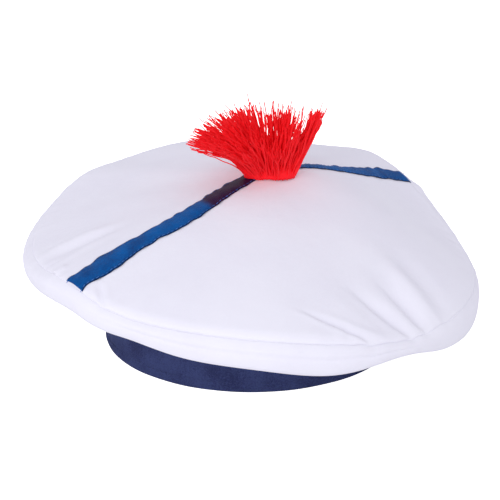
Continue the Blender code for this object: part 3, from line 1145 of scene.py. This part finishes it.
class CAP_OT_ribbon(bpy.types.Operator):
    """Make the satin ribbon"""

    bl_idname = "cap.ribbon"
    bl_label = "Ribbon"

    def execute(self, context):
        settings = context.scene.sailor_cap.ribbon
        aside = np.linspace(-1, 1, RIBBON_COLUMNS)
        points = ribbon_lines(settings, aside, settings.wall + RIBBON_LIFT)
        rows, columns = points.shape[:2]
        here = np.arange(columns - 1)
        faces = [
            (i * columns + k, i * columns + k + 1, (i + 1) * columns + k + 1, (i + 1) * columns + k)
            for i in range(rows - 1)
            for k in here
        ]
        mesh = bpy.data.meshes.new("ribbon_satin")
        mesh.from_pydata(points.reshape(-1, 3).tolist(), [], faces)
        layer = mesh.uv_layers.new(name="Flat")
        flat = [points[divmod(corner, columns)][:2] for face in faces for corner in face]
        layer.data.foreach_set("uv", np.asarray(flat, np.float32).ravel())
        from_tuft = np.linalg.norm(points[..., :2] - shape.middle, axis=-1)
        # Darker towards both of the ribbon's edges
        edge = np.broadcast_to(0.9 * smooth((np.abs(aside)[:, None] - 0.72) / 0.28), from_tuft.shape)
        # Painted shadow of the tuft, with its painted red reflection, on the stretch of ribbon beside the
        # tuft towards the wearer's right
        painted_tuft_shadow = smooth((TUFT_SHADOW_END - from_tuft) / TUFT_SHADOW_FADE) * (points[..., 0] < shape.middle[0])
        for name, values in (("edge", edge), ("painted_tuft_shadow", painted_tuft_shadow)):
            attribute = mesh.attributes.new(name, "FLOAT", "POINT")
            attribute.data.foreach_set("value", values.astype(np.float32).ravel())
        ribbon = bpy.data.objects.new("ribbon_satin", mesh)
        context.scene.collection.objects.link(ribbon)
        with_wall(ribbon, settings.wall)
        hand_over(finished(ribbon, satin(settings)), "blue_satin", "ribbon")
        return {"FINISHED"}


def modifier_inputs(modifier, values):
    """Sets a node modifier's inputs, found by name, by their identifiers."""
    for item in modifier.node_group.interface.items_tree:
        if item.item_type == "SOCKET" and item.in_out == "INPUT" and item.name in values:
            modifier[item.identifier] = values[item.name]


def grown(name, points, edges, attributes, tree, values, material):
    """A mesh that a node tree grows from points or lines with these attributes."""
    mesh = bpy.data.meshes.new(name)
    mesh.from_pydata(np.asarray(points, float).tolist(), edges, [])
    for attribute_name, data in attributes.items():
        data = np.asarray(data, np.float32)
        kind, field = ("FLOAT_VECTOR", "vector") if data.ndim == 2 else ("FLOAT", "value")
        mesh.attributes.new(attribute_name, kind, "POINT").data.foreach_set(field, data.ravel())
    obj = bpy.data.objects.new(name, mesh)
    bpy.context.scene.collection.objects.link(obj)
    modifier = obj.modifiers.new("Grow", "NODES")
    modifier.node_group = tree
    modifier_inputs(modifier, {**values, "Material": material})
    return finished(obj, material)


def named(tree, name, kind="FLOAT"):
    """An attribute of the points that a tree is given."""
    return add(tree, "GeometryNodeInputNamedAttribute", {"Name": name}, data_type=kind)


def thread_tree():
    """Grows a thread from each point: a tube that follows the point's reach and bend, with a crinkle."""
    tree, given, result = new_group(
        "Threads",
        "GeometryNodeTree",
        {
            "Roots": ("NodeSocketGeometry", None),
            "Joints": ("NodeSocketInt", 14),
            "Crinkle": ("NodeSocketFloat", 0.0015),
            "Crinkle Size": ("NodeSocketFloat", 0.014),
            "Taper": ("NodeSocketFloat", 0.35),
            "Sides": ("NodeSocketInt", 5),
            "Seed": ("NodeSocketFloat", 0.0),
            "Material": ("NodeSocketMaterial", None),
        },
        {"Threads": "NodeSocketGeometry"},
    )
    line = add(tree, "GeometryNodeCurvePrimitiveLine", {"Start": (0, 0, 0), "End": (0, 0, 1)})
    jointed = add(tree, "GeometryNodeResampleCurve", {"Curve": line, "Count": given["Joints"]})
    placed = add(tree, "GeometryNodeInstanceOnPoints", {"Points": given["Roots"], "Instance": jointed})
    real = add(tree, "GeometryNodeRealizeInstances", {"Geometry": placed})
    along = add(tree, "GeometryNodeSplineParameter")
    squared = math_node(tree, "MULTIPLY", along, along)
    reach = scaled(tree, named(tree, "reach", "FLOAT_VECTOR"), along)
    bend = scaled(tree, named(tree, "bend", "FLOAT_VECTOR"), squared)
    upright = add(tree, "ShaderNodeCombineXYZ", {"Z": along})
    straight = vector_node(tree, "SUBTRACT", vector_node(tree, "ADD", reach, bend), upright)
    position = add(tree, "GeometryNodeInputPosition")
    frequency = math_node(tree, "DIVIDE", 1.0, given["Crinkle Size"])
    phase = math_node(tree, "MULTIPLY_ADD", named(tree, "chance"), 40.0, given["Seed"])
    where = scaled(tree, vector_node(tree, "ADD", position, straight), frequency)
    noise = add(
        tree,
        "ShaderNodeTexNoise",
        {"Vector": where, "W": phase, "Scale": 1.0, "Detail": 1.0},
        "Color",
        noise_dimensions="4D",
    )
    centred = vector_node(tree, "SUBTRACT", noise, (0.5, 0.5, 0.5))
    strength = math_node(tree, "MULTIPLY", math_node(tree, "MULTIPLY", along, 3.0), given["Crinkle"])
    crinkle = scaled(tree, centred, strength)
    offset = vector_node(tree, "ADD", straight, crinkle)
    curved = add(tree, "GeometryNodeSetPosition", {"Geometry": real, "Offset": offset})
    narrowing = math_node(tree, "SUBTRACT", 1.0, math_node(tree, "MULTIPLY", squared, given["Taper"]))
    radius = math_node(tree, "MULTIPLY", named(tree, "girth"), narrowing)
    outline = add(tree, "GeometryNodeCurvePrimitiveCircle", {"Resolution": given["Sides"], "Radius": 1.0})
    tubes = add(
        tree,
        "GeometryNodeCurveToMesh",
        {"Curve": curved, "Profile Curve": outline, "Scale": radius, "Fill Caps": True},
    )
    whole = add(tree, "GeometryNodeRealizeInstances", {"Geometry": tubes})
    dressed = add(tree, "GeometryNodeSetMaterial", {"Geometry": whole, "Material": given["Material"]})
    tree.links.new(dressed, result["Threads"])
    return tree


def fan_frame():
    """The tuft's fan: its right, its front and upwards, as it faces the camera."""
    azimuth = math.radians(CAMERA_AZIMUTH)
    right = np.array([math.cos(azimuth), math.sin(azimuth), 0.0])
    front = np.array([math.sin(azimuth), -math.cos(azimuth), 0.0])
    return right, front, np.array([0.0, 0.0, 1.0])


def tuft_roots(settings):
    """Where each thread of the tuft starts, where it reaches, how it bends, and its girth and tone."""
    chance = np.random.default_rng(SEED)
    right, front, up = fan_frame()
    roots, reaches, bends, girths, tones = [], [], [], [], []

    def lean(tilt, toward):
        """The way up that leans by these angles in degrees, along the fan and out of it."""
        way = right * math.tan(math.radians(tilt)) + front * math.tan(math.radians(toward)) + up
        return way / np.linalg.norm(way)

    for lock in LOCKS:
        for _ in range(lock.threads):
            tilt = lock.tilt + lock.spread * chance.normal()
            toward = lock.toward + lock.spread * chance.normal() * TOWARD_SPREAD
            aside = lock.foot + THREAD_ASIDE * chance.normal()
            before = lock.toward / LEAN_BEFORE + THREAD_BEFORE * chance.normal()
            beyond = max(1.0, math.hypot(aside, before))
            roots.append((right * aside + front * before * FOOT_DEPTH) * settings.foot / beyond)
            stray = STRAY_LENGTH if chance.uniform() < STRAY_SHARE else 0.0
            long = settings.length * lock.length * (chance.uniform(*THREAD_LENGTHS) + stray)
            first = lean(lock.rise * tilt, lock.rise * toward) * long
            reaches.append(first)
            bends.append(lean(tilt, toward) * long - first)
            girths.append(settings.girth * chance.uniform(*THREAD_GIRTHS))
            tones.append(chance.uniform(*THREAD_TONES))
    roots = np.array(roots)
    roots[:, :2] += shape.middle
    return roots, np.array(reaches), np.array(bends), np.array(girths), np.array(tones)


class CAP_OT_tuft(bpy.types.Operator):
    """Make the tuft's threads and the foot that they are sewn to"""

    bl_idname = "cap.tuft"
    bl_label = "Tuft"

    def execute(self, context):
        settings = context.scene.sailor_cap.tuft
        # The threads glow with their shade colour: painted light that stands in for light shining through
        # them
        painted_glow = {"Emission_Color": (*settings.shade, 1), "Emission_Strength": settings.painted_glow}
        material = thread("Tuft Thread", settings.light, settings.shade, **painted_glow)
        skin = skin_of(bpy.data.objects["ribbon_satin"].data)
        cloth = skin_of(bpy.data.objects["crown_top_cloth"].data)
        roots, reaches, bends, girths, tones = tuft_roots(settings)
        ground = heights_on(cloth, roots[:, 0], roots[:, 1])
        for k, (x, y, _) in enumerate(roots):
            hit = skin.ray_cast(Vector((x, y, 1.0)), Vector((0, 0, -1)))[0]
            if hit is not None:
                ground[k] = max(ground[k], hit.z)
        roots[:, 2] = ground + settings.girth * ROOT_LIFT
        chances = np.random.default_rng(SEED + 20).uniform(0, 1, len(roots))
        attributes = {"reach": reaches, "bend": bends, "girth": girths, "tone": tones, "chance": chances}
        values = {"Joints": settings.joints, "Crinkle": settings.crinkle, "Seed": float(SEED)}
        tuft = grown("tuft_threads", roots, [], attributes, thread_tree(), values, material)
        hand_over(tuft, "red_thread", "tuft")
        self.make_foot(settings, material, cloth)
        return {"FINISHED"}

    def make_foot(self, settings, material, cloth):
        """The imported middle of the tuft, low between its threads."""
        right, front, _ = fan_frame()
        angle = np.radians(HEADINGS[::10])[:, None]
        rows = []
        for turn in np.linspace(0, math.pi / 2, FOOT_ROWS)[1:]:
            radius = settings.foot * FOOT_SHARE * math.sin(turn)
            level = radius * (right * np.cos(angle) + front * np.sin(angle) * FOOT_DEPTH)
            level[:, :2] += shape.middle
            ground = heights_on(cloth, level[:, 0], level[:, 1])
            level[:, 2] = ground + FOOT_EDGE + FOOT_RISE * math.cos(turn)
            rows.append(level)
        points = np.stack(rows)
        flat = np.concatenate([points, points[:, :1]], axis=1)[..., :2]
        pole = points[0].mean(axis=0) + (0, 0, FOOT_PEAK)
        foot = cloth_grid("tuft_foot", points, flat, pole)
        with_wall(foot, FOOT_WALL)
        finished(foot, material)
        tone = foot.data.attributes.new("tone", "FLOAT", "POINT")
        tone.data.foreach_set("value", np.full(len(foot.data.vertices), FOOT_TONE, np.float32))
        hand_over(foot, "red_thread", "tuft")


def stitch_tree():
    """Lays stitches along lines, end to end with a gap between them."""
    tree, given, result = new_group(
        "Stitches",
        "GeometryNodeTree",
        {
            "Lines": ("NodeSocketGeometry", None),
            "Stitch Length": ("NodeSocketFloat", 0.0024),
            "Gap": ("NodeSocketFloat", 0.0009),
            "Thickness": ("NodeSocketFloat", 0.0004),
            "Waver": ("NodeSocketFloat", 0.12),
            "Seed": ("NodeSocketInt", 0),
            "Material": ("NodeSocketMaterial", None),
        },
        {"Stitches": "NodeSocketGeometry"},
    )
    curves = add(tree, "GeometryNodeMeshToCurve", {"Mesh": given["Lines"]})
    spacing = math_node(tree, "ADD", given["Stitch Length"], given["Gap"])
    spread = tree.nodes.new("GeometryNodeCurveToPoints")
    spread.mode = "LENGTH"
    tree.links.new(curves, spread.inputs["Curve"])
    tree.links.new(spacing, spread.inputs["Length"])
    waver = add(
        tree,
        "FunctionNodeRandomValue",
        {"Min": (-1, -1, -1), "Max": (1, 1, 1), "Seed": given["Seed"]},
        data_type="FLOAT_VECTOR",
    )
    way = vector_node(tree, "ADD", spread.outputs["Tangent"], scaled(tree, waver, given["Waver"]))
    turned = add(tree, "FunctionNodeAlignRotationToVector", {"Vector": way}, axis="Z")
    stitch = add(tree, "GeometryNodeMeshUVSphere", {"Segments": 6, "Rings": 5, "Radius": 0.5})
    size = add(
        tree,
        "ShaderNodeCombineXYZ",
        {"X": given["Thickness"], "Y": given["Thickness"], "Z": given["Stitch Length"]},
    )
    placed = add(
        tree,
        "GeometryNodeInstanceOnPoints",
        {"Points": spread.outputs["Points"], "Instance": stitch, "Rotation": turned, "Scale": size},
    )
    tones = {2: THREAD_TONES[0], 3: THREAD_TONES[1], "Seed": given["Seed"]}
    tone = add(tree, "FunctionNodeRandomValue", tones, 1, data_type="FLOAT")
    toned = add(
        tree,
        "GeometryNodeStoreNamedAttribute",
        {"Geometry": placed, "Name": "tone", "Value": tone},
        data_type="FLOAT",
        domain="INSTANCE",
    )
    whole = add(tree, "GeometryNodeRealizeInstances", {"Geometry": toned})
    dressed = add(tree, "GeometryNodeSetMaterial", {"Geometry": whole, "Material": given["Material"]})
    tree.links.new(dressed, result["Stitches"])
    return tree


def stitched(name, lines, settings, material, closed=False, seed=0):
    """Stitches along lines of points."""
    tree = bpy.data.node_groups.get("Stitches") or stitch_tree()
    points, edges = [], []
    for line in lines:
        first = len(points)
        points += [tuple(point) for point in line]
        edges += [(k, k + 1) for k in range(first, len(points) - 1)]
        if closed:
            edges.append((len(points) - 1, first))
    values = {
        "Stitch Length": settings.length,
        "Gap": settings.gap,
        "Thickness": settings.thickness,
        "Seed": seed,
    }
    return grown(name, points, edges, {}, tree, values, material)


class CAP_OT_stitches(bpy.types.Operator):
    """Make the stitches of the rim's seam, the band and the ribbon"""

    bl_idname = "cap.stitches"
    bl_label = "Stitches"

    def execute(self, context):
        cap = context.scene.sailor_cap
        white = thread("White Thread", cap.crown.light, cap.crown.shade)
        navy = thread("Navy Thread", cap.band.light, cap.band.shade)
        blue = thread("Blue Thread", BLUE_THREAD, cap.ribbon.light, 0.35)
        seam = ring(HEADINGS, shape.seam_radius + SEAM_STITCH_OUT, shape.seam_height - SEAM_STITCH_DROP)
        made = stitched("seam_stitches", [seam], cap.stitch, white, closed=True, seed=1)
        hand_over(made, "white_cotton")
        hand_over(self.make_loose_thread(white), "white_cotton")
        reach = shape.band_outer - BAND_STITCH_INSET
        line = ring(HEADINGS, reach, cap.band.topstitch_height + 0 * HEADINGS)
        made = stitched("band_stitches", [line], cap.stitch, navy, closed=True, seed=2)
        hand_over(made, "navy_twill")
        edges = ribbon_lines(cap.ribbon, RIBBON_STITCH_LINES, cap.ribbon.wall + RIBBON_LIFT)
        made = stitched("ribbon_stitches", edges, cap.stitch, blue, seed=3)
        hand_over(made, "blue_satin")
        return {"FINISHED"}

    def make_loose_thread(self, material):
        """A cut end of thread that sticks up from the rim's seam."""
        turn = math.radians(LOOSE_HEADING)
        way = np.array([math.sin(turn), -math.cos(turn), 0.0])
        root = (seam_reach(LOOSE_HEADING) + LOOSE_ROOT_OUT) * way
        root[2] = np.interp(LOOSE_HEADING, HEADINGS, shape.seam_height) - LOOSE_ROOT_DROP
        attributes = {
            "reach": [LOOSE_REACH],
            "bend": [LOOSE_BEND],
            "girth": [LOOSE_GIRTH],
            "tone": [1.0],
            "chance": [0.4],
        }
        values = {"Joints": LOOSE_JOINTS, "Crinkle": LOOSE_CRINKLE}
        tree = bpy.data.node_groups.get("Threads") or thread_tree()
        return grown("loose_thread", [root], [], attributes, tree, values, material)


class CAP_OT_stage(bpy.types.Operator):
    """Make the floor, the lights and the camera"""

    bl_idname = "cap.stage"
    bl_label = "Stage"

    def execute(self, context):
        settings = context.scene.sailor_cap.studio
        self.make_floor(settings)
        self.make_lights(settings)
        self.make_camera()
        return {"FINISHED"}

    def make_floor(self, settings):
        """A pale floor that looks white to the camera, as the photograph's ground does."""
        bpy.ops.mesh.primitive_plane_add(size=settings.floor_size)
        floor = bpy.context.active_object
        floor.name = "floor"
        material, tree, shader = new_material("Floor", Roughness=0.9, Specular_IOR_Level=0.1)
        shader.inputs["Base Color"].default_value = FLOOR_COLOUR
        shader.inputs["Emission Color"].default_value = (1, 1, 1, 1)
        seen = add(tree, "ShaderNodeLightPath", output="Is Camera Ray")
        whiter = math_node(tree, "MULTIPLY", seen, settings.backdrop)
        tree.links.new(whiter, shader.inputs["Emission Strength"])
        floor.data.materials.append(material)

    def make_lights(self, settings):
        """An even white surround, a soft key at the camera's left and a weak low fill at its right."""
        world = bpy.data.worlds.new("Studio")
        world.use_nodes = True
        surround = world.node_tree.nodes["Background"]
        surround.inputs["Color"].default_value = SURROUND_COLOUR
        surround.inputs["Strength"].default_value = settings.surround
        bpy.context.scene.world = world
        self.add_light("key", KEY_PLACE, KEY_SIZE, settings.key_power)
        self.add_light("fill", FILL_PLACE, FILL_SIZE, settings.fill_power)

    def add_light(self, name, place, size, power):
        """A square light that points at the cap."""
        light = bpy.data.lights.new(name, "AREA")
        light.energy = power
        light.size = size
        obj = bpy.data.objects.new(name, light)
        obj.location = place
        way = Vector((0, 0, LIT_HEIGHT)) - Vector(place)
        obj.rotation_euler = way.to_track_quat("-Z", "Y").to_euler()
        bpy.context.scene.collection.objects.link(obj)

    def make_camera(self):
        """A long lens at the photograph's angle."""
        azimuth, elevation = math.radians(CAMERA_AZIMUTH), math.radians(CAMERA_ELEVATION)
        back = Vector(
            (
                math.sin(azimuth) * math.cos(elevation),
                -math.cos(azimuth) * math.cos(elevation),
                math.sin(elevation),
            )
        )
        camera = bpy.data.cameras.new("camera")
        camera.sensor_width = SENSOR_WIDTH_MM
        camera.lens = FOCAL_PIXELS / FRAME_PIXELS * SENSOR_WIDTH_MM
        camera.shift_x = (FRAME_PIXELS / 2 - TARGET_PIXEL[0]) / FRAME_PIXELS
        camera.shift_y = (TARGET_PIXEL[1] - FRAME_PIXELS / 2) / FRAME_PIXELS
        obj = bpy.data.objects.new("camera", camera)
        obj.location = Vector((0, 0, CAMERA_TARGET_HEIGHT)) + back * CAMERA_DISTANCE
        obj.rotation_euler = (-back).to_track_quat("-Z", "Y").to_euler()
        bpy.context.scene.collection.objects.link(obj)
        bpy.context.scene.camera = obj


class CAP_PT_panel(bpy.types.Panel):
    """The cap's operators and settings, in the 3D view's sidebar"""

    bl_idname = "CAP_PT_panel"
    bl_label = "Sailor Cap"
    bl_space_type = "VIEW_3D"
    bl_region_type = "UI"
    bl_category = "Sailor Cap"

    def draw(self, context):
        """A button for each operator, then a box for each group of settings."""
        for operator in OPERATORS:
            self.layout.operator(operator.bl_idname)
        cap = context.scene.sailor_cap
        for group in cap.bl_rna.properties:
            if group.type != "POINTER" or group.identifier == "rna_type":
                continue
            box = self.layout.box()
            box.label(text=group.name)
            settings = getattr(cap, group.identifier)
            for setting in settings.bl_rna.properties:
                if setting.identifier not in ("rna_type", "name"):
                    box.prop(settings, setting.identifier)


SETTINGS = (
    CapCrownSettings,
    CapBandSettings,
    CapRibbonSettings,
    CapTuftSettings,
    CapStitchSettings,
    CapStudioSettings,
    SailorCapSettings,
)
OPERATORS = (CAP_OT_crown, CAP_OT_band, CAP_OT_ribbon, CAP_OT_tuft, CAP_OT_stitches, CAP_OT_stage)


def register():
    """Registers the settings, the operators and the panel."""
    for made in (*SETTINGS, *OPERATORS, CAP_PT_panel):
        bpy.utils.register_class(made)
    bpy.types.Scene.sailor_cap = PointerProperty(type=SailorCapSettings)


def unregister():
    """Takes them all away again."""
    del bpy.types.Scene.sailor_cap
    for made in reversed((*SETTINGS, *OPERATORS, CAP_PT_panel)):
        bpy.utils.unregister_class(made)


def main():
    """Makes the cap and its stage."""
    register()
    bpy.ops.cap.crown()
    bpy.ops.cap.band()
    bpy.ops.cap.ribbon()
    bpy.ops.cap.tuft()
    bpy.ops.cap.stitches()
    bpy.ops.cap.stage()
    bpy.context.scene.view_settings.view_transform = "Standard"


if __name__ == "__main__":
    main()
